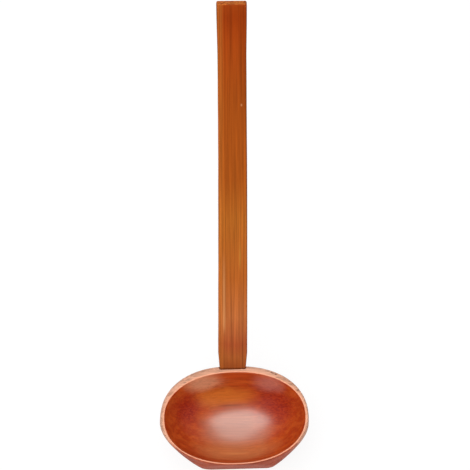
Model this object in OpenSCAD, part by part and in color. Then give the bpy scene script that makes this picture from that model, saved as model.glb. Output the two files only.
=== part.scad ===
// Long-handled wooden ladle: an oval bowl carved from one block, a flat strip handle
// driven into the thick shoulder behind the lip, and two bamboo pegs that lock it there.
//
// Frame: millimetres, +Z up. The origin lies on the flat base, straight below the middle of
// the bowl's mouth. +X runs along the bowl's long axis and +Y towards the handle.

/* [Mouth and lip] */
// Length of the mouth inside the lip, side to side
mouth_length = 85; // [70:0.5:110]
// Width of the mouth inside the lip, front to back
mouth_width = 59; // [54:0.5:80]
// Squareness of the mouth's oval, where 2 is a true ellipse
mouth_squareness = 2.15; // [2:0.05:2.4]
// Width of the flat lip round the mouth
lip_width = 1.2; // [0.8:0.1:3]

/* [Outside of the bowl] */
// Height of the lip above the base
bowl_height = 36; // [32:0.5:50]
// Depth of the widest girth below the lip
girth_drop = 9; // [6:0.5:14]
// How far the girth stands out beyond the lip at each end
end_swell = 1.2; // [0.6:0.1:6]
// How far the girth stands out beyond the lip at the back, as a shoulder for the handle
shoulder = 5.3; // [5:0.1:10]
// Squareness of the girth's back half
shoulder_squareness = 2.3; // [2.1:0.05:3]
// Squareness of the girth's front half, under 2 because its corners are pared away
front_squareness = 1.8; // [1.75:0.05:2.4]
// Offset of the girth's middle along X, as the carver left it
girth_offset = -0.5; // [-0.8:0.1:0.8]
// Turn of the girth against the mouth, in degrees
girth_turn = -2.3; // [-4:0.1:4]
// How far each end of the base lies inside the girth
base_end_inset = 19.6; // [12:0.2:24]
// How far the base's straight front edge lies inside the lip
base_front_inset = 11.4; // [8:0.1:14]
// How far the base's back edge lies inside the girth, little, so that the ladle stands by itself
base_back_inset = 4; // [3:0.5:12]
// Offset of the base's middle along X
base_offset = 1.4; // [-2:0.1:2]
// Squareness of the base's oval
base_squareness = 2.55; // [2.2:0.05:3.5]
// Fullness of the end walls between base and girth: 1 is straight, 2 a quarter ellipse
end_fullness = 1.2; // [1.1:0.05:2]
// Fullness of the pared corners beside the front wall
corner_fullness = 1.55; // [1.4:0.05:2]
// Fullness of the back wall
back_fullness = 1.7; // [1.3:0.05:2.5]

/* [Hollow] */
// Thickness of the wood under the hollow
floor_thickness = 12; // [8:0.5:15]
// Flatness of the hollow's floor, where 2 is evenly curved
floor_flatness = 2.9; // [2:0.1:3.5]
// Steepness of the hollow's end walls, where 2 drops straight down from the lip
end_steepness = 1.15; // [1:0.05:1.5]
// Steepness of the hollow's front wall
front_steepness = 1.05; // [0.9:0.05:1.2]
// Steepness of the hollow's back wall, low because the tenon lies behind it
back_steepness = 0.9; // [0.8:0.05:1]

/* [Handle] */
// Length of the handle from the shoulder to its end
handle_length = 256.5; // [150:0.5:350]
// Rise of the handle above the horizontal, in degrees
handle_rise = 58; // [54:0.5:62]
// Lean of the hand-fitted handle towards +X, in degrees
handle_lean = 1.2; // [-3:0.1:3]
// Offset of the handle's foot along X
handle_offset = -0.5; // [-3:0.1:3]
// Distance between the lip's outer edge and the handle's front face
lip_to_handle = 0.8; // [0.5:0.1:2]
// Width of the handle above its narrowed foot
handle_width = 17.5; // [16:0.1:22]
// Width at the waist below the flared end
waist_width = 16.8; // [14:0.1:20]
// Width across the flared end
end_width = 17.6; // [14:0.1:24]
// Distance from the end down to the waist
waist_drop = 40; // [20:1:60]
// Thickness of the handle
handle_thickness = 4.8; // [4:0.1:6]
// Radius of the handle's rounded edges
edge_radius = 1; // [0.5:0.1:1.7]
// Length over which the foot narrows towards the shoulder
foot_length = 12; // [6:0.5:25]

/* [Tenon and pegs] */
// Width of the tenon where it enters the shoulder
tenon_width = 15.8; // [13:0.1:18]
// Width of the tenon at its blind tip
tenon_tip_width = 15; // [13:0.1:17]
// Thickness of the tenon at its blind tip
tenon_tip_thickness = 3.6; // [3.5:0.1:4]
// Depth of the tenon in the shoulder
tenon_depth = 13; // [10:0.5:14]
// Diameter of each peg
peg_diameter = 2.6; // [1.6:0.1:3.2]
// Distance between the two pegs
peg_spacing = 8; // [5:0.1:9]
// Depth of the pegs in the shoulder, along the tenon
peg_drop = 7.5; // [5:0.1:8]
// How far each peg runs on past the tenon's front face
peg_overrun = 0.6; // [0.2:0.1:0.8]

/* [Fits] */
// Glue gap round the tenon
tenon_gap = 0.1; // [0.05:0.01:0.2]
// Gap round each peg
peg_gap = 0.05; // [0.02:0.01:0.1]

/* [Hidden] */

// Rings and points of the lofts
ring_points = 72;
wall_steps = 9;
shoulder_steps = 6;
hollow_steps = 12;
strip_step = 12;
corner_steps = 4;
// Wood that stands in front of the flat front wall before it is cut
front_stock = 3;
// Bevel round the handle's end
end_bevel = 0.6;
// Larger than the whole ladle
beyond = 500;

lip_half_length = mouth_length / 2 + lip_width;
lip_half_width = mouth_width / 2 + lip_width;
girth_half_length = lip_half_length + end_swell;
girth_back = lip_half_width + shoulder;
girth_height = bowl_height - girth_drop;
base_front = lip_half_width - base_front_inset;
front_slope = atan(base_front_inset / bowl_height);
hollow_depth = bowl_height - floor_thickness;

// Blend from a to b as t runs from 0 to 1
function mix(a, b, t) = a + (b - a) * t;

// Blend from 0 to 1 with a level start and stop
function ease(t) = t * t * (3 - 2 * t);

// Rise of a superellipse quarter, from 0 at t = 0 to level at t = 1
function quarter(t, fullness) = pow(1 - pow(1 - t, fullness), 1 / fullness);

// A closed solid skinned over rings of equally many points, with flat ends
module loft(rings) {
    count = len(rings[0]);
    last = len(rings) - 1;
    sides = [for (j = [0 : last - 1]) for (i = [0 : count - 1])
        let (a = j * count + i, b = j * count + (i + 1) % count)
        each [[a, a + count, b], [b, a + count, b + count]]];
    first_cap = [for (i = [0 : count - 1]) i];
    last_cap = [for (i = [count - 1 : -1 : 0]) last * count + i];
    polyhedron([for (ring = rings) each ring], concat([first_cap], sides, [last_cap]),
               convexity = 10);
}

// ---- Bowl ----

// An oval is [half length, front half width, back half width, front squareness, back squareness].
// Its ring is the closed line of points at height z, turned about Z and moved along X.
function oval_ring(oval, z, turn = 0, offset = 0) =
    [for (i = [0 : ring_points - 1])
        let (angle = 360 * i / ring_points, c = cos(angle), s = sin(angle),
             half = s < 0 ? 0 : 1, power = 2 / oval[3 + half],
             x = sign(c) * oval[0] * pow(abs(c), power),
             y = sign(s) * oval[1 + half] * pow(abs(s), power))
        [offset + x * cos(turn) - y * sin(turn), x * sin(turn) + y * cos(turn), z]];

base_oval = [girth_half_length - base_end_inset, base_front + front_stock,
             girth_back - base_back_inset, base_squareness, base_squareness];
girth_oval = [girth_half_length, lip_half_width, girth_back,
              front_squareness, shoulder_squareness];
lip_oval = [lip_half_length, lip_half_width, lip_half_width,
            mouth_squareness, mouth_squareness];

// Wall from the base up to the girth
function wall_rings() = [for (k = [0 : wall_steps])
    let (t = k / wall_steps, ends = quarter(t, end_fullness),
         front = quarter(t, corner_fullness), back = quarter(t, back_fullness),
         blend = [ends, front, back, front, back])
    oval_ring([for (i = [0 : 4]) mix(base_oval[i], girth_oval[i], blend[i])],
              girth_height * t, girth_turn * t, mix(base_offset, girth_offset, t))];

// From the girth up to the lip's outer edge: a rounded shoulder behind, a straight wall in front
function shoulder_rings() = [for (k = [1 : shoulder_steps])
    let (a = 90 * k / shoulder_steps, rise = sin(a), round = 1 - cos(a),
         blend = [round, rise, round, rise, round])
    oval_ring([for (i = [0 : 4]) mix(girth_oval[i], lip_oval[i], blend[i])],
              mix(girth_height, bowl_height, rise), girth_turn * (1 - rise),
              girth_offset * (1 - rise))];

// What is left of the mouth's half length or half width at a depth below the lip
function hollow_half(half, depth, steepness) =
    half * pow(1 - pow(depth / hollow_depth, steepness), 1 / floor_flatness);

// Hollow from the lip's inner edge down to its floor, with closer rings near the floor
function hollow_rings() = [for (k = [0 : hollow_steps - 1])
    let (depth = hollow_depth * (1 - pow(1 - k / hollow_steps, 2)))
    oval_ring([hollow_half(mouth_length / 2, depth, end_steepness),
               hollow_half(mouth_width / 2, depth, front_steepness),
               hollow_half(mouth_width / 2, depth, back_steepness),
               mouth_squareness, mouth_squareness], bowl_height - depth)];

// Everything in front of the flat front wall
module front_cut()
    translate([-beyond / 2, -base_front, 0])
        rotate([front_slope, 0, 0])
            translate([0, -beyond, -beyond / 2])
                cube(beyond);

// Outside of the bowl as one solid block
module block()
    difference() {
        loft(concat(wall_rings(), shoulder_rings()));
        front_cut();
    }

module bowl()
    color("chocolate")
        difference() {
            loft(concat(wall_rings(), shoulder_rings(), hollow_rings()));
            front_cut();
            seated() strip(tenon_gap);
            for (side = [-1, 1]) peg_bar(side, peg_gap);
        }

// ---- Handle ----

// The handle is shaped upright: +Z along its length from the mouth of the mortise, with its
// front face at y = 0 and its back face at y = handle_thickness.
waist_height = handle_length - waist_drop;

function strip_width(z) =
    z < 0 ? mix(tenon_width, tenon_tip_width, -z / tenon_depth)
    : z < foot_length ? mix(tenon_width, handle_width, z / foot_length)
    : z < waist_height
        ? mix(handle_width, waist_width, ease((z - foot_length) / (waist_height - foot_length)))
    : mix(waist_width, end_width, ease((z - waist_height) / waist_drop));

// The tenon is thinned from its front face only
function strip_front(z) =
    z < 0 ? mix(0, handle_thickness - tenon_tip_thickness, -z / tenon_depth) : 0;

// One ring of the strip: a rectangle with round corners, grown by a gap and then set in
function strip_ring(z, gap = 0, inset = 0) =
    let (x = strip_width(z) / 2 - edge_radius, front = strip_front(z) + edge_radius,
         back = handle_thickness - edge_radius, r = edge_radius + gap - inset,
         centres = [[x, back], [-x, back], [-x, front], [x, front]])
    [for (k = [0 : 3]) for (j = [0 : corner_steps])
        let (angle = 90 * (k + j / corner_steps))
        [centres[k].x + r * cos(angle), centres[k].y + r * sin(angle), z]];

// The strip from the tenon's tip to the bevelled end; with a gap it is the mortise's cutter
module strip(gap = 0) {
    bevel = min(end_bevel, edge_radius / 2);
    tenon_tip = strip_ring(-tenon_depth, gap);
    stations = [0, each [foot_length : strip_step : handle_length - strip_step / 2],
                handle_length - bevel];
    loft(concat([[for (p = tenon_tip) [p.x, p.y, p.z - gap]]],
                [for (z = stations) strip_ring(z, gap)],
                [strip_ring(handle_length, gap, bevel)]));
}

// Height at which the handle's front face meets the rounded shoulder
mortise_height = mix(girth_height, bowl_height, sqrt(1 - pow(lip_to_handle / shoulder, 2)));

// Places what is shaped upright in the shoulder
module seated()
    translate([handle_offset, lip_half_width + lip_to_handle, mortise_height])
        rotate([handle_rise - 90, 0, 0])
            rotate([0, handle_lean, 0])
                children();

module handle()
    color("peru")
        difference() {
            seated() strip();
            for (side = [-1, 1]) peg_bar(side, peg_gap);
        }

// ---- Pegs ----

// A round bar from the peg's tip out through the back of the shoulder, or its bore with a gap
module peg_bar(side, gap = 0)
    seated()
        translate([side * peg_spacing / 2, strip_front(-peg_drop) - peg_overrun, -peg_drop])
            rotate([-90, 0, 0])
                cylinder(d = peg_diameter + 2 * gap, h = girth_back, $fn = 48);

// A peg, pared flush with the outside of the bowl
module peg(side)
    color("burlywood")
        intersection() {
            peg_bar(side);
            block();
        }

module peg_left() peg(-1);
module peg_right() peg(1);

bowl();
handle();
peg_left();
peg_right();
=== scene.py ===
import math

import bmesh
import bpy
from mathutils import Matrix, Vector, noise
from mathutils.bvhtree import BVHTree


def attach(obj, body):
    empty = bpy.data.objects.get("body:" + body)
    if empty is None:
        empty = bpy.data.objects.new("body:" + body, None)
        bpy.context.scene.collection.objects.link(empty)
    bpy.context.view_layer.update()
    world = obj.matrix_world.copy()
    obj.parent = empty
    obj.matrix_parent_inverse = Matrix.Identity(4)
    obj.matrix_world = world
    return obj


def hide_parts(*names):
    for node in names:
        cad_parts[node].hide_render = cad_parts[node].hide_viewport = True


# A long-handled wooden ladle: an oval bowl carved from one block, a flat strip handle driven
# into its thick back shoulder, and two bamboo pegs. Metres, +Z up, +Y towards the handle.

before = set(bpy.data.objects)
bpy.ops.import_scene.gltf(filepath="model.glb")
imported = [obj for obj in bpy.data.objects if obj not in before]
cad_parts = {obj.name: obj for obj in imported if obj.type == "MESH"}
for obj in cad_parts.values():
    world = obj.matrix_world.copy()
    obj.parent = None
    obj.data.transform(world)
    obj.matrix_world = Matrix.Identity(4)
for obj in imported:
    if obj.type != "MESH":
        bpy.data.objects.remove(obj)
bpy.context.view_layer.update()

MM = 0.001

# ---- Sizes, as in the CAD model ----

LIP_HEIGHT = 36.0 * MM
GIRTH_HEIGHT = 27.0 * MM
FLOOR_HEIGHT = 12.0 * MM
HOLLOW_DEPTH = LIP_HEIGHT - FLOOR_HEIGHT

# An oval is half length, front half width, back half width, front squareness, back squareness.
BASE = (25.3 * MM, 22.3 * MM, 32.0 * MM, 2.55, 2.55)
GIRTH = (44.9 * MM, 30.7 * MM, 36.0 * MM, 1.8, 2.3)
LIP = (43.7 * MM, 30.7 * MM, 30.7 * MM, 2.15, 2.15)
MOUTH = (42.5 * MM, 29.5 * MM, 29.5 * MM, 2.15, 2.15)
BASE_OFFSET, GIRTH_OFFSET = 1.4 * MM, -0.5 * MM
GIRTH_TURN = math.radians(-2.3)
END_FULLNESS, CORNER_FULLNESS, BACK_FULLNESS = 1.2, 1.55, 1.7
HOLLOW_STEEPNESS = (1.15, 1.05, 0.9)    # ends, front, back
FLOOR_FLATNESS = 2.9
BASE_FRONT, FRONT_INSET = 19.3 * MM, 11.4 * MM

HANDLE_LENGTH, HANDLE_THICKNESS = 256.5 * MM, 4.8 * MM
HANDLE_WIDTH, WAIST_WIDTH, END_WIDTH = 17.5 * MM, 16.8 * MM, 17.6 * MM
FOOT_LENGTH, WAIST_HEIGHT = 12.0 * MM, 216.5 * MM
TENON_WIDTH, TENON_TIP_WIDTH, TENON_DEPTH = 15.8 * MM, 15.0 * MM, 13.0 * MM
TENON_THINNING, TENON_GAP = 1.2 * MM, 0.1 * MM
EDGE_RADIUS = 1.0 * MM
HANDLE_RISE, HANDLE_LEAN = math.radians(58.0), math.radians(1.2)
SEAT = Vector((-0.5 * MM, 31.5 * MM, 35.897 * MM))
SEATED = (Matrix.Translation(SEAT) @ Matrix.Rotation(HANDLE_RISE - math.pi / 2, 4, "X")
          @ Matrix.Rotation(HANDLE_LEAN, 4, "Y"))

PEG_RADIUS, PEG_SPACING, PEG_DROP = 1.3 * MM, 8.0 * MM, 7.5 * MM
PEG_OVERRUN, PEG_GAP, PEG_PROUD = 0.6 * MM, 0.05 * MM, 0.12 * MM


# ---- Small helpers for shapes ----

def mix(a, b, t):
    return a + (b - a) * t


def ease(t):
    t = min(1.0, max(0.0, t))
    return t * t * (3 - 2 * t)


def quarter(t, fullness):
    """Rise of a superellipse quarter, from 0 at t = 0 to level at t = 1."""
    return (1 - (1 - t) ** fullness) ** (1 / fullness)


def soft_max(a, b, softness):
    """The larger of two lengths, rounded where they cross."""
    h = min(1.0, max(0.0, 0.5 + 0.5 * (a - b) / softness))
    return mix(b, a, h) + softness * h * (1 - h)


def oval_point(oval, angle, turn=0.0, offset=0.0):
    """The point of an oval outline at an angle, turned about Z and moved along X."""
    c, s = math.cos(angle), math.sin(angle)
    half = 0 if s < 0 else 1
    power = 2 / oval[3 + half]
    x = math.copysign(oval[0] * abs(c) ** power, c)
    y = math.copysign(oval[1 + half] * abs(s) ** power, s)
    return (offset + x * math.cos(turn) - y * math.sin(turn),
            x * math.sin(turn) + y * math.cos(turn))


# Without a seed the noise is drawn from the clock, and each run gives another surface.
noise.seed_set(5)


def wobble(point, size, height):
    """A smooth, small unevenness in all three directions, as a hand tool leaves."""
    return noise.noise_vector(point / size) * height


def loft(count, rings):
    """A skin of quads: a ring of points that is extruded from one ring's places to the next.

    rings is a list of (place, marks): place(i) gives the point with number i, and marks
    are values for the vertex layers named in it. Returns the open bmesh.
    """
    skin = bmesh.new()
    number = skin.verts.layers.int.new("number")
    for name in rings[0][1]:
        skin.verts.layers.float.new(name)
    verts = bmesh.ops.create_circle(skin, segments=count, radius=1.0)["verts"]
    for i, vert in enumerate(verts):
        vert[number] = i
    edges = skin.edges[:]
    for n, (place, marks) in enumerate(rings):
        if n:
            grown = bmesh.ops.extrude_edge_only(skin, edges=edges)["geom"]
            verts = [g for g in grown if isinstance(g, bmesh.types.BMVert)]
            edges = [g for g in grown if isinstance(g, bmesh.types.BMEdge)]
        for vert in verts:
            vert.co = place(vert[number])
            for name, value in marks.items():
                vert[skin.verts.layers.float[name]] = value
    skin.verts.layers.int.remove(skin.verts.layers.int["number"])
    return skin


def close_ends(skin):
    """Closes both ends with a flat face, inset once so that the shading stays level there."""
    open_edges = [e for e in skin.edges if e.is_boundary]
    caps = bmesh.ops.holes_fill(skin, edges=open_edges, sides=0)["faces"]
    bmesh.ops.recalc_face_normals(skin, faces=skin.faces)
    bmesh.ops.inset_individual(skin, faces=caps, thickness=0.4 * MM, use_even_offset=True)


def piece(name, skin, sharp=40):
    """Makes an object of a finished bmesh: smooth shading, with edges over an angle left sharp."""
    for face in skin.faces:
        face.smooth = True
    for edge in skin.edges:
        if len(edge.link_faces) == 2:
            edge.smooth = edge.calc_face_angle() < math.radians(sharp)
    mesh = bpy.data.meshes.new(name)
    skin.to_mesh(mesh)
    skin.free()
    made = bpy.data.objects.new(name, mesh)
    bpy.context.scene.collection.objects.link(made)
    return made


# ---- Bowl ----
# The stations mark how far a ring has come: 0 base, 1 girth, 2 the lip's outer edge, 3 its inner
# edge, 4 the floor of the hollow. The finish reads them.

BOWL_POINTS = 288
WALL_RINGS, SHOULDER_RINGS, HOLLOW_RINGS, ARRIS_STEPS = 26, 14, 40, 5
FOOT_EASING = 0.035         # share of the wall's height that the base's rounded arris takes
SHOULDER_EASING = 78        # degrees of the shoulder's turn at which the lip's arris starts
LIP_ARRIS = 0.4 * MM


def outside_point(oval, z, turn, offset, i):
    """A point of the outside, with the flat front wall and its soft corners pared into it."""
    x, y = oval_point(oval, 2 * math.pi * i / BOWL_POINTS, turn, offset)
    wall = -(BASE_FRONT + FRONT_INSET * z / LIP_HEIGHT)
    return Vector((x, soft_max(y, wall, 0.5 * MM), z))


def wall_ring(t):
    """The outside from the base, t = 0, to the girth, t = 1."""
    ends, front, back = (quarter(t, full) for full in (END_FULLNESS, CORNER_FULLNESS, BACK_FULLNESS))
    oval = [mix(BASE[k], GIRTH[k], share) for k, share in enumerate((ends, front, back, front, back))]
    turn, offset = GIRTH_TURN * t, mix(BASE_OFFSET, GIRTH_OFFSET, t)

    def place(i):
        return outside_point(oval, GIRTH_HEIGHT * t, turn, offset, i)
    return place


def shoulder_ring(turned):
    """The outside from the girth, 0 degrees, up to the lip's outer edge, 90 degrees."""
    a = math.radians(turned)
    rise, curl = math.sin(a), 1 - math.cos(a)
    oval = [mix(GIRTH[k], LIP[k], share) for k, share in enumerate((curl, rise, curl, rise, curl))]
    turn, offset = GIRTH_TURN * (1 - rise), GIRTH_OFFSET * (1 - rise)

    def place(i):
        return outside_point(oval, mix(GIRTH_HEIGHT, LIP_HEIGHT, rise), turn, offset, i)
    return place


def hollow_ring(depth):
    """The hollow at a depth below the lip."""
    share = depth / HOLLOW_DEPTH
    oval = [MOUTH[k] * (1 - share ** HOLLOW_STEEPNESS[k]) ** (1 / FLOOR_FLATNESS) for k in range(3)]
    oval += MOUTH[3:]

    def place(i):
        return Vector((*oval_point(oval, 2 * math.pi * i / BOWL_POINTS), LIP_HEIGHT - depth))
    return place


def between(outer, inner, t):
    """A ring on the straight way from one ring to another."""
    def place(i):
        return outer(i).lerp(inner(i), t)
    return place


def eased(edge, start, end, t):
    """Rounds the arris at `edge` between the rings `start` and `end`: t runs from 0 to 1."""
    def place(i):
        return start(i) * (1 - t) ** 2 + edge(i) * 2 * t * (1 - t) + end(i) * t ** 2
    return place


def bowl_rings():
    """All the rings of the bowl, each with its station, from the base to the floor."""
    rings = []
    base, low_wall = wall_ring(0.0), wall_ring(FOOT_EASING)

    def inside_base(i):
        return base(i) * 0.965
    for k in range(ARRIS_STEPS + 1):
        t = k / ARRIS_STEPS
        rings.append((eased(base, inside_base, low_wall, t), 0.02 * t))
    for k in range(1, WALL_RINGS + 1):
        t = mix(FOOT_EASING, 1.0, k / WALL_RINGS)
        rings.append((wall_ring(t), t))
    for k in range(1, SHOULDER_RINGS + 1):
        t = k / SHOULDER_RINGS
        rings.append((shoulder_ring(SHOULDER_EASING * t), 1 + 0.9 * t))
    outer_edge, inner_edge = shoulder_ring(90), hollow_ring(0.0)
    onto_lip, off_lip = between(outer_edge, inner_edge, 0.3), between(outer_edge, inner_edge, 0.7)
    for k in range(1, ARRIS_STEPS + 1):
        t = k / ARRIS_STEPS
        rings.append((eased(outer_edge, shoulder_ring(SHOULDER_EASING), onto_lip, t), 1.93 + 0.1 * t))
    rings.append((between(outer_edge, inner_edge, 0.5), 2.5))
    for k in range(ARRIS_STEPS + 1):
        t = k / ARRIS_STEPS
        rings.append((eased(inner_edge, off_lip, hollow_ring(LIP_ARRIS), t), 2.8 + 0.2 * t))
    for k in range(1, HOLLOW_RINGS):
        t = k / HOLLOW_RINGS
        rings.append((hollow_ring(mix(LIP_ARRIS, HOLLOW_DEPTH, 1 - (1 - t) ** 2.6)), 3 + t))
    return rings


def make_bowl():
    skin = loft(BOWL_POINTS, [(place, {"station": station}) for place, station in bowl_rings()])
    for vert in skin.verts:
        if vert.co.z >= 1 * MM:
            vert.co += wobble(vert.co, 0.019, 0.1 * MM)
    close_ends(skin)
    bowl = piece("bowl_carved", skin)
    tools = [piece("mortise", mortise_shape())]
    for side in (-1, 1):
        tools.append(piece("peg_bore", peg_bar(side, PEG_RADIUS + PEG_GAP, 0.0, 20 * MM)))
    for tool in tools:
        cut = bowl.modifiers.new(tool.name, "BOOLEAN")
        cut.operation, cut.solver, cut.object = "DIFFERENCE", "EXACT", tool
    ready = bowl.evaluated_get(bpy.context.evaluated_depsgraph_get())
    carved = bpy.data.meshes.new_from_object(ready)
    bowl.modifiers.clear()
    bowl.data = carved
    for tool in tools:
        bpy.data.objects.remove(tool)
    return bowl


# ---- Handle and pegs ----

def strip_outline():
    """The outline of the strip as (sx, sy, nx, ny): which side or corner, and the way it faces."""
    places = []
    for corner, (sx, sy) in enumerate(((1, 1), (-1, 1), (-1, -1), (1, -1))):
        for k in range(7):
            a = math.pi / 2 * (corner + k / 6)
            places.append((sx, sy, math.cos(a), math.sin(a)))
        turned = math.pi / 2 * (corner + 1)
        wide = corner % 2 == 0
        steps = 12 if wide else 4
        for k in range(1, steps):
            t = k / steps
            if wide:
                places.append((mix(sx, -sx, t), sy, 0.0, math.sin(turned)))
            else:
                places.append((sx, mix(sy, -sy, t), math.cos(turned), 0.0))
    return places


STRIP = strip_outline()


def strip_width(z):
    if z < 0:
        return mix(TENON_WIDTH, TENON_TIP_WIDTH, -z / TENON_DEPTH)
    if z < FOOT_LENGTH:
        return mix(TENON_WIDTH, HANDLE_WIDTH, z / FOOT_LENGTH)
    if z < WAIST_HEIGHT:
        return mix(HANDLE_WIDTH, WAIST_WIDTH, ease((z - FOOT_LENGTH) / (WAIST_HEIGHT - FOOT_LENGTH)))
    return mix(WAIST_WIDTH, END_WIDTH, ease((z - WAIST_HEIGHT) / (HANDLE_LENGTH - WAIST_HEIGHT)))


def strip_ring(z, grown=0.0, uneven=0.0):
    """One ring of the strip at a height along it, before it is seated. grown makes it larger all
    round, and uneven gives it a slight bow and a hand-planed surface."""
    half = strip_width(z) / 2 - EDGE_RADIUS
    front = (TENON_THINNING * -z / TENON_DEPTH if z < 0 else 0.0) + EDGE_RADIUS
    back = HANDLE_THICKNESS - EDGE_RADIUS
    radius = EDGE_RADIUS + grown
    middle, depth = (front + back) / 2, (back - front) / 2
    bow = uneven * 0.35 * MM * math.sin(math.pi * max(0.0, z) / HANDLE_LENGTH)

    def place(i):
        sx, sy, nx, ny = STRIP[i]
        at = Vector((sx * half + nx * radius + bow, middle + sy * depth + ny * radius, z))
        return at + wobble(at + Vector((0.1, 0.2, 0.3)), 0.022, uneven * 0.08 * MM)
    return place


def mortise_shape():
    """The tenon with its gap, run on above the shoulder: what is cut out of the bowl."""
    stations = [-TENON_DEPTH, -9 * MM, -5 * MM, -2 * MM, 0.0, 4 * MM, 9 * MM]
    skin = loft(len(STRIP), [(strip_ring(z, TENON_GAP), {}) for z in stations])
    close_ends(skin)
    skin.transform(SEATED)
    return skin


def make_handle():
    end_rounding = 1.2 * MM
    stations = [-TENON_DEPTH, -TENON_DEPTH + 0.4 * MM]
    stations += [mix(-TENON_DEPTH, 0.0, k / 8) for k in range(1, 9)]
    stations += [mix(0.0, FOOT_LENGTH, k / 8) for k in range(1, 9)]
    stations += [mix(FOOT_LENGTH, HANDLE_LENGTH - end_rounding, k / 90) for k in range(1, 91)]
    rings = [(strip_ring(z, 0.0 if k else -0.5 * MM, 1.0), {}) for k, z in enumerate(stations)]
    for k in range(1, 6):
        a = math.pi / 2 * k / 5
        rings.append((strip_ring(HANDLE_LENGTH - end_rounding * (1 - math.sin(a)),
                                 -0.6 * MM * (1 - math.cos(a)), 1.0), {}))
    skin = loft(len(STRIP), rings)
    close_ends(skin)
    skin.transform(SEATED)
    return piece("handle_strip", skin)


def peg_bar(side, radius, start, length):
    """A round bar along a peg's axis, in its place."""
    bar = bmesh.new()
    bmesh.ops.create_cone(bar, cap_ends=True, segments=48, radius1=radius, radius2=radius, depth=length)
    bmesh.ops.translate(bar, verts=bar.verts, vec=(0, 0, length / 2))
    bmesh.ops.rotate(bar, verts=bar.verts, cent=(0, 0, 0), matrix=Matrix.Rotation(-math.pi / 2, 3, "X"))
    bmesh.ops.translate(bar, verts=bar.verts, vec=(side * PEG_SPACING / 2, start, -PEG_DROP))
    bar.transform(SEATED)
    return bar


def make_peg(side, name, bowl_surface):
    """A peg that is cut off just proud of the shoulder, along the shoulder's own slope."""
    bar = peg_bar(side, PEG_RADIUS, TENON_THINNING * PEG_DROP / TENON_DEPTH - PEG_OVERRUN, 30 * MM)
    way = SEATED.to_3x3() @ Vector((0, 1, 0))
    beside = []
    for aside in (-2.0 * MM, 2.0 * MM):
        outer = SEATED @ Vector((side * PEG_SPACING / 2 + aside, 30 * MM, -PEG_DROP))
        beside.append(bowl_surface.ray_cast(outer, -way))
    surface = (beside[0][0] + beside[1][0]) / 2
    slope = (beside[0][1] + beside[1][1]).normalized()
    bmesh.ops.bisect_plane(bar, geom=bar.verts[:] + bar.edges[:] + bar.faces[:], dist=1e-6,
                           plane_co=surface + slope * PEG_PROUD, plane_no=slope, clear_outer=True)
    rim = [e for e in bar.edges if e.is_boundary]
    bmesh.ops.holes_fill(bar, edges=rim, sides=0)
    bmesh.ops.recalc_face_normals(bar, faces=bar.faces)
    bmesh.ops.bevel(bar, geom=[e for e in rim if e.is_valid], offset=0.2 * MM, segments=3,
                    profile=0.5, affect="EDGES", material=-1)
    return piece(name, bar, sharp=60)


# ---- Finishes ----

def paint(red, green, blue):
    """A colour as it looks on a screen, 0 to 255, as the shader's linear colour."""
    linear = [c / 255 / 12.92 if c <= 10.3 else ((c / 255 + 0.055) / 1.055) ** 2.4
              for c in (red, green, blue)]
    return (*linear, 1.0)


class Varying:
    """A number, colour, vector or shader that varies: an output socket of a finish.
    The arithmetic operators add the Math nodes."""

    def __init__(self, finish, socket):
        self.finish, self.socket = finish, socket

    def maths(self, operation, *values):
        return self.finish.node("ShaderNodeMath", {"operation": operation}, *values)

    def __add__(self, other):
        return self.maths("ADD", self, other)

    def __radd__(self, other):
        return self.maths("ADD", other, self)

    def __sub__(self, other):
        return self.maths("SUBTRACT", self, other)

    def __rsub__(self, other):
        return self.maths("SUBTRACT", other, self)

    def __mul__(self, other):
        return self.maths("MULTIPLY", self, other)

    def __rmul__(self, other):
        return self.maths("MULTIPLY", other, self)

    def __truediv__(self, other):
        return self.maths("DIVIDE", self, other)

    def __rtruediv__(self, other):
        return self.maths("DIVIDE", other, self)

    def __abs__(self):
        return self.maths("ABSOLUTE", self)


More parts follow.
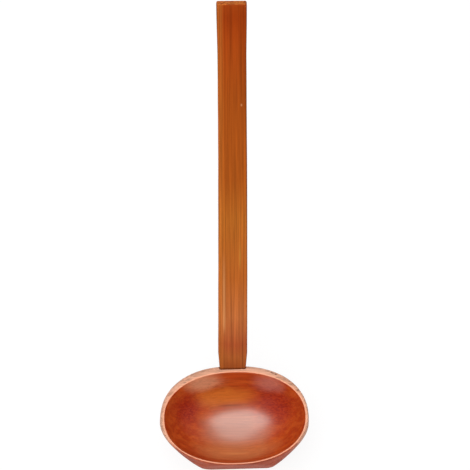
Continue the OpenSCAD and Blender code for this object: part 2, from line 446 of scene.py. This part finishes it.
class Finish:
    """The nodes of a material or a world under construction."""

    def __init__(self, owner):
        self.owner = owner
        owner.use_nodes = True
        self.tree = owner.node_tree
        self.tree.nodes.clear()

    def node(self, kind, settings=None, *values, output=None, **inputs):
        """Adds a node. Settings come first, then its sockets: values in order, inputs by name
        (an underscore stands for a space). Returns its output, the first unless one is named."""
        made = self.tree.nodes.new(kind)
        for key, value in (settings or {}).items():
            if key == "stops":
                ramp = made.color_ramp
                while len(ramp.elements) < len(value):
                    ramp.elements.new(1.0)
                for stop, (place, colour) in zip(ramp.elements, value):
                    stop.position, stop.color = place, colour
            else:
                setattr(made, key, value)
        live = [s for s in made.inputs if s.enabled and not s.is_unavailable]
        pairs = list(zip(live, values))
        for key, value in inputs.items():
            pairs.append((next(s for s in live if s.name == key.replace("_", " ")), value))
        for socket, value in pairs:
            if isinstance(value, Varying):
                self.tree.links.new(value.socket, socket)
            else:
                socket.default_value = value
        shown = [s for s in made.outputs if s.enabled and not s.is_unavailable]
        if not shown:
            return None
        return Varying(self, next(s for s in shown if output is None or s.name == output))

    def place(self, turn=(0, 0, 0), centre=(0, 0, 0), stretch=(1, 1, 1)):
        """Where a point of the piece lies, in millimetres, from a centre, in a turned frame,
        divided by a stretch along each axis."""
        at = self.node("ShaderNodeTexCoord", output="Object")
        local = self.node("ShaderNodeMapping", {"vector_type": "TEXTURE"}, at,
                          Location=centre, Rotation=turn)
        return self.node("ShaderNodeVectorMath", {"operation": "DIVIDE"}, local,
                         tuple(s * MM for s in stretch))

    def part(self, vector, axis):
        return self.node("ShaderNodeSeparateXYZ", None, vector, output=axis)

    def noise(self, vector, detail=2.0, roughness=0.5, scale=1.0):
        return self.node("ShaderNodeTexNoise", None, vector, Scale=scale, Detail=detail,
                         Roughness=roughness, output="Fac")

    def step(self, value, low, high, start=0.0, end=1.0):
        """A smooth step from start, below low, to end, above high."""
        return self.node("ShaderNodeMapRange", {"interpolation_type": "SMOOTHSTEP"}, value,
                         low, high, start, end)

    def blend(self, share, first, second):
        return self.node("ShaderNodeMix", {"data_type": "RGBA"}, share, first, second)

    def shaded(self, colour, factor):
        """A colour made darker or lighter by a factor that varies."""
        return self.node("ShaderNodeVectorMath", {"operation": "SCALE"}, colour, Scale=factor)

    def spot(self, vector, centre, size):
        """1 at a centre, falling smoothly to 0 at the size's edge; both in millimetres."""
        away = self.node("ShaderNodeVectorMath", {"operation": "SUBTRACT"}, vector, centre)
        away = self.node("ShaderNodeVectorMath", {"operation": "DIVIDE"}, away, size)
        reach = self.node("ShaderNodeVectorMath", {"operation": "LENGTH"}, away, output="Value")
        return self.step(reach, 0.0, 1.0, 1.0, 0.0)

    def varnish(self, colour, roughness, bump, coat=0.0, **fixed):
        """Joins up a wood: bump is a height in millimetres; fixed values go straight on the shader."""
        raised = self.node("ShaderNodeBump", None, Strength=1.0, Distance=MM, Height=bump)
        wood = self.node("ShaderNodeBsdfPrincipled", None, Base_Color=colour, Roughness=roughness,
                         Coat_Weight=coat, Normal=raised, **fixed)
        self.node("ShaderNodeOutputMaterial", None, Surface=wood)
        return self.owner

    def white_to_the_eye(self, lit, white, share):
        """Mixes a lit surface or world with plain white where the eye, a gloss or a glass sees it."""
        seen = self.node("ShaderNodeLightPath", output="Is Camera Ray")
        for ray in ("Is Glossy Ray", "Is Transmission Ray"):
            seen = seen.maths("MAXIMUM", seen, self.node("ShaderNodeLightPath", output=ray))
        return self.node("ShaderNodeMixShader", None, seen * share, lit, white)


# ---- Wood of the bowl ----

ORANGE, RUSSET = paint(182, 76, 26), paint(164, 56, 16)
# Lighter gold: painted light on the back wall of the hollow.
LIT_GOLD = paint(194, 102, 36)
# Dark reds: painted shade in the hollow.
SHADE_DEEP_RED, SHADE_WARM_RED = paint(142, 30, 10), paint(162, 50, 16)
# Tan: painted light and sheen on the front slope. Duller brown: part of the painted highlight's pale
# tone on the floor.
LIT_FRONT_TAN, FLOOR_HIGHLIGHT_BROWN = paint(184, 104, 60), paint(158, 92, 54)
# Painted reflections of the bright surroundings at the back corners of the hollow.
PALE_REFLECTION, ROSY_REFLECTION = paint(210, 152, 116), paint(186, 122, 112)
PALE_STREAK = paint(220, 146, 88)
# The lip's pale tones: bare wood, with a painted highlight in them.
LIP_PALE, LIP_ROSY = paint(238, 176, 144), paint(224, 150, 116)
# Pale, tan and grey: painted light and sheen on the shoulder.
LIT_PALE, LIT_TAN, SHEEN_GREY = paint(222, 166, 138), paint(192, 140, 114), paint(140, 112, 98)
# Red-browns: the wood darkened by painted shade below the shoulder and on the front wall.
SHADED_BROWN, SHADED_RED, SHADED_DARK = paint(150, 58, 34), paint(190, 90, 56), paint(120, 46, 30)
NICK_DARK = paint(46, 26, 18)

# Small nicks in the arris of the lip and the front wall: centre and size in millimetres.
NICKS = [((23.2, 28.6, 35.4), (1.5, 0.8, 1.2)), ((25.6, 27.4, 35.4), (1.3, 0.8, 1.2)),
         ((38.2, 16.4, 35.5), (1.2, 1.0, 1.2)), ((22.6, -27.6, 34.4), (1.0, 0.9, 1.0))]


def hollow_colour(f, at, streaks, bands, patchy):
    """Orange to russet, with painted light and shade in patches: a lighter gold on the back wall, tan on
    the front slope, dark red where the varnish mirrors nothing bright, a duller brown under the
    highlight, and pale painted reflections.
    """
    shade_red = f.blend(f.step(streaks, 0.35, 0.65), SHADE_DEEP_RED, SHADE_WARM_RED)
    patches = [  # centre, size, strength, colour
        # Painted light: a lighter gold on the back wall.
        ((-8, 20, 21), (38, 13, 12), 1.0, LIT_GOLD),
        # Painted shade: dark red at the right and the left of the hollow, where the varnish mirrors
        # nothing bright.
        ((24, 13, 22), (26, 22, 20), 1.0, shade_red),
        ((-29, 11, 23), (17, 17, 16), 1.0, shade_red),
        # Painted light and sheen: the front slope paler, as lit from behind.
        ((0, -15, 16), (50, 20, 18), 1.0, LIT_FRONT_TAN),
        # A duller, paler brown under the highlight: part of the painted highlight's tone.
        ((0, 3, 12), (40, 24, 16), 0.8, FLOOR_HIGHLIGHT_BROWN),
        # Painted reflections: pale and rosy haze at the two back corners.
        ((-20, 25, 32), (24, 10, 11), 0.7, PALE_REFLECTION),
        ((23, 24, 31), (20, 10, 11), 0.5, ROSY_REFLECTION)]
    colour = f.blend(f.step(bands, 0.35, 0.65), ORANGE, RUSSET)
    for centre, size, strength, tone in patches:
        patch = f.step(f.spot(at, centre, size) + patchy * 0.6, 0.05, 0.95, 0.0, strength)
        colour = f.blend(patch, colour, tone)

    dark_grain = f.step(f.noise(f.place(stretch=(11, 0.45, 0.45))), 0.54, 0.68)
    dark_grain = (dark_grain * f.spot(at, (-1, 24, 28), (30, 14, 12))
                  + f.spot(at, (-4, 15.8, 16.5), (14, 1.1, 0.9)))
    colour = f.shaded(colour, (0.62 + 0.72 * streaks) * (1 - 0.4 * dark_grain))
    light_grain = f.spot(at, (-1, -15.2, 15.4), (14, 2.4, 2.0)) * 0.35
    return f.blend(light_grain, colour, PALE_STREAK)


def outside_colour(f, at, streaks, bands, patchy):
    """Pale and grey on the shoulder, as painted light and sheen; red-brown below it and on the front
    wall, darkened by painted shade.
    """
    lit_shoulder = f.blend(f.step(bands + (streaks - 0.5) * 0.8, 0.35, 0.7), LIT_PALE, LIT_TAN)
    lit_shoulder = f.blend(f.step(streaks + patchy * 0.5, 0.5, 0.75) * 0.7, lit_shoulder, SHEEN_GREY)
    shaded_wall = f.blend(f.step(streaks, 0.3, 0.7), SHADED_BROWN, SHADED_RED)
    shaded_wall = f.blend(f.step(bands, 0.4, 0.7) * 0.5, shaded_wall, SHADED_DARK)
    # Painted shade: darker below the shoulder and towards the front wall.
    below = f.step(f.part(at, "Z") + patchy * 9.0, 20.0, 33.0, 1.0, 0.0)
    front = f.step(f.part(at, "Y") + patchy * 6.0, -24.0, -10.0, 1.0, 0.0)
    return f.blend(1 - (1 - below) * (1 - front), lit_shoulder, shaded_wall)


def bowl_wood():
    """Varnished reddish wood with its grain along X, with light and shade painted into its colour. The
    floor is polished; the lip is pale, bare wood with a painted highlight.
    """
    f = Finish(bpy.data.materials.new("bowl_wood"))
    at = f.place()
    station = f.node("ShaderNodeAttribute", {"attribute_name": "station"}, output="Fac")
    inside = f.step(station, 2.84, 2.96)
    lip = f.step(station, 2.05, 2.5) * (1 - inside)

    streaks = f.noise(f.place(stretch=(20, 0.8, 0.8)), detail=4.0, roughness=0.65)
    bands = f.noise(f.place(stretch=(60, 3.5, 3.5)))
    fibres = f.noise(f.place(stretch=(6, 0.3, 0.3)), roughness=0.7)
    chatter = f.noise(f.place(stretch=(0.9, 5, 5)), detail=1.0)
    patchy = (f.noise(f.place(stretch=(9, 8, 8)), detail=3.0, roughness=0.6) - 0.5) * 0.9

    # Each nick is painted near black as well as sunk by the bump.
    nicks = sum(f.spot(at, centre, size) for centre, size in NICKS)
    skin = f.blend(nicks, outside_colour(f, at, streaks, bands, patchy), NICK_DARK)
    colour = f.blend(inside, skin, hollow_colour(f, at, streaks, bands, patchy))
    # The lip: bare wood with a painted highlight.
    colour = f.blend(lip, colour, f.blend(f.step(fibres, 0.3, 0.7), LIP_PALE, LIP_ROSY))

    polished = 0.25 + 0.75 * f.step(f.spot(at, (3, 3, 12), (38, 26, 16)), 0.1, 0.7)
    coat = inside * polished + (1 - inside) * 0.03
    roughness = 0.5 + (streaks - 0.5) * 0.12
    bump = ((fibres - 0.5) * 0.02 + (streaks - 0.5) * 0.03 + (chatter - 0.5) * 0.012) - nicks * 0.4
    return f.varnish(colour, roughness, bump, coat=coat, Specular_IOR_Level=0.02,
                     Coat_Roughness=0.31, Coat_IOR=1.8)


# ---- Wood of the handle and the pegs ----

# The strip's tone from its foot to its end: millimetres along it, and the colour there. Its paling
# towards the foot is painted light.
HANDLE_TONES = [(0, (150, 74, 32)), (8, (168, 90, 42)), (18, (166, 80, 42)), (26, (174, 92, 48)),
                (38, (182, 102, 52)), (66, (174, 92, 34)), (108, (170, 94, 30)),
                (136, (160, 78, 20)), (190, (152, 70, 16)), (233, (146, 58, 10)),
                (248, (138, 50, 6)), (260, (146, 58, 12))]
TONES_LENGTH = 260.0
# Edge and pale sheen colours: painted sheen on the strip. Chip pale: the bare wood of a chip.
EDGE_SHEEN_BROWN, SHEEN_PALE, CHIP_PALE = paint(176, 102, 40), paint(214, 150, 96), paint(214, 150, 100)
GREENISH = paint(178, 126, 50)
END_LIGHT, END_DARK = paint(178, 98, 38), paint(140, 62, 22)
ALONG_STRIP = SEATED.to_3x3().to_euler("XYZ")


def handle_wood():
    """Straight-grained wood with fine lengthwise streaks under a thin varnish: darker and redder
    towards the top and paler towards the foot, which is painted light. A painted sheen runs
    along the left edge and the crown, and painted shade darkens the sides and the foot."""
    f = Finish(bpy.data.materials.new("handle_wood"))
    at = f.place(ALONG_STRIP, SEAT)
    across, along = f.part(at, "X"), f.part(at, "Z")
    streaks = f.noise(f.place(ALONG_STRIP, SEAT, (0.55, 1.2, 60)), detail=4.0, roughness=0.7)
    lines = f.noise(f.place(ALONG_STRIP, SEAT, (0.9, 1.6, 90)))
    bands = f.noise(f.place(ALONG_STRIP, SEAT, (2.6, 3.0, 150)), detail=1.0)
    clouds = f.noise(f.place(ALONG_STRIP, SEAT, (6, 6, 22)))

    stops = [(z / TONES_LENGTH, paint(*tone)) for z, tone in HANDLE_TONES]
    colour = f.node("ShaderNodeValToRGB", {"stops": stops},
                    along / TONES_LENGTH + (clouds - 0.5) * 0.03, output="Color")
    # Painted sheen: the left edge lighter, where its rounding catches the light.
    left_edge_sheen = f.step(across + (bands - 0.5) * 3.0, -7.0, -4.0, 1.0, 0.0)
    colour = f.blend(left_edge_sheen * 0.4, colour, EDGE_SHEEN_BROWN)
    # Painted sheen: a pale band left of the middle in the lower part, where the crowned face catches the
    # light.
    crown_sheen = (f.step(abs(across + 5.0), 0.3, 1.2, 1.0, 0.0)
            * f.step(along, 24.0, 34.0) * f.step(along, 60.0, 90.0, 1.0, 0.0))
    colour = f.blend(crown_sheen * 0.45, colour, SHEEN_PALE)
    colour = f.blend(f.spot(at, (5.6, 0, 188.4), (0.8, 2, 1.4)) * 0.7, colour, CHIP_PALE)
    colour = f.blend(f.spot(at, (4.6, 0, 82), (1.0, 2, 14)) * 0.5, colour, GREENISH)
    blotches = f.step(f.noise(f.place(ALONG_STRIP, SEAT, (1.6, 0.8, 2))), 0.45, 0.6)
    colour = f.blend(f.step(along, 256.1, 256.5), colour, f.blend(blotches, END_LIGHT, END_DARK))

    # Painted shade: both rounded edges of the face darker.
    edges = f.step(abs(across), 7.6, 8.8)
    dark_lines = f.step(streaks, 0.3, 0.46, 1.0, 0.0)
    shade = (0.62 + 0.76 * streaks) * (0.84 + 0.32 * bands) * (1 - 0.25 * dark_lines) * (1 - 0.2 * edges)
    # Painted shadow: the strip darker over its first 1.6 mm, where it meets the shoulder.
    shade = shade * f.step(lines, 0.3, 0.7, 0.8, 1.2) * f.step(along, 0.1, 1.6, 0.45, 1.0)
    roughness = 0.5 + (streaks - 0.5) * 0.1
    return f.varnish(f.shaded(colour, shade), roughness, (streaks - 0.5) * 0.05,
                     Specular_IOR_Level=0.04)


def bamboo(side):
    """Bamboo, with the dark dots of its fibres at the end."""
    f = Finish(bpy.data.materials.new("peg_bamboo"))
    centre = SEATED @ Vector((side * PEG_SPACING / 2, 0, -PEG_DROP))
    at = f.place(ALONG_STRIP, centre, (1, 30, 1))
    dots = f.node("ShaderNodeTexVoronoi", None, at, Scale=4.0, output="Distance")
    pale = f.noise(at, scale=2.0)
    colour = f.blend(f.step(dots, 0.12, 0.3), paint(120, 72, 34), paint(205, 160, 100))
    return f.varnish(f.shaded(colour, 0.8 + 0.4 * pale), 0.55, (pale - 0.5) * 0.03,
                     Specular_IOR_Level=0.3)


# ---- Camera ----

def make_camera():
    """Square to the handle's front, 66 degrees up, far off, and rolled a little."""
    elevation, roll = math.radians(65.76), math.radians(1.6)
    distance, focal, image = 2.8, 4654.0, 470.0
    mouth_on_image = (234.84, 417.38)
    back = Vector((0, -math.cos(elevation), math.sin(elevation)))
    level, upward = Vector((1, 0, 0)), Vector((0, math.sin(elevation), math.cos(elevation)))
    right = level * math.cos(roll) - upward * math.sin(roll)
    up = upward * math.cos(roll) + level * math.sin(roll)
    aside = (mouth_on_image[0] - image / 2) / focal * distance
    above = (image / 2 - mouth_on_image[1]) / focal * distance
    place = Vector((0, 0, LIP_HEIGHT)) - right * aside - up * above + back * distance
    lens = bpy.data.cameras.new("camera")
    lens.sensor_width, lens.lens = 36.0, 36.0 * focal / image
    lens.clip_start, lens.clip_end = 0.1, 20.0
    camera = bpy.data.objects.new("camera", lens)
    camera.matrix_world = Matrix((
        (right.x, up.x, back.x, place.x), (right.y, up.y, back.y, place.y),
        (right.z, up.z, back.z, place.z), (0, 0, 0, 1)))
    bpy.context.scene.collection.objects.link(camera)
    bpy.context.scene.camera = camera


# ---- Light, floor and background ----

# Name, place, aim, size and power of each soft lamp.
LAMPS = [("overhead", (-0.14, -0.10, 1.0), (0, 0, 0.02), (1.05, 1.15), 11.6),
         ("front_left", (-0.7, -1.1, 0.35), (0, 0, 0.03), (0.5, 0.5), 1.6),
         ("front_right", (0.7, -1.1, 0.35), (0, 0, 0.03), (0.5, 0.5), 1.2),
         ("behind", (0.1, 1.3, 0.6), (0, 0, 0.03), (0.8, 0.4), 2.0)]
WHITE = (1, 1, 1, 1)


def soft_lamp(name, place, aim, size, power):
    lamp = bpy.data.lights.new(name, "AREA")
    lamp.shape, lamp.size, lamp.size_y = "RECTANGLE", size[0], size[1]
    lamp.energy = power
    made = bpy.data.objects.new(name, lamp)
    made.location = place
    made.rotation_euler = (Vector(aim) - Vector(place)).to_track_quat("-Z", "Y").to_euler()
    made.visible_camera = False
    bpy.context.scene.collection.objects.link(made)


def make_studio():
    """Soft lamps, a dim even world and a pale floor that keeps the ladle's shadow."""
    scene = bpy.context.scene
    scene.world = bpy.data.worlds.new("studio")
    f = Finish(scene.world)
    ambient = f.node("ShaderNodeBackground", None, WHITE, 0.28)
    white = f.node("ShaderNodeBackground", None, WHITE, 1.0)
    f.node("ShaderNodeOutputWorld", None, Surface=f.white_to_the_eye(ambient, white, 1.0))

    skin = bmesh.new()
    bmesh.ops.create_grid(skin, x_segments=2, y_segments=2, size=6.0)
    floor = piece("floor", skin)
    floor.location.z = -0.05 * MM
    f = Finish(bpy.data.materials.new("floor_paper"))
    paper = f.node("ShaderNodeBsdfDiffuse", None, (0.86, 0.86, 0.86, 1))
    white = f.node("ShaderNodeEmission", None, WHITE, 1.04)
    f.node("ShaderNodeOutputMaterial", None, Surface=f.white_to_the_eye(paper, white, 0.85))
    floor.data.materials.append(f.owner)

    for lamp in LAMPS:
        soft_lamp(*lamp)
    scene.view_settings.view_transform = "Standard"


# ---- Assembly ----

def fit(made, wood, node):
    """Gives a piece its finish and lets it stand for its CAD node."""
    made.data.materials.clear()
    made.data.materials.append(wood)
    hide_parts(node)
    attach(made, "root")


make_camera()
make_studio()

bowl = make_bowl()
fit(bowl, bowl_wood(), "bowl")
fit(make_handle(), handle_wood(), "handle")

bowl_surface = BVHTree.FromObject(bowl, bpy.context.evaluated_depsgraph_get())
for side, name in ((-1, "peg_left"), (1, "peg_right")):
    fit(make_peg(side, name + "_bamboo", bowl_surface), bamboo(side), name)
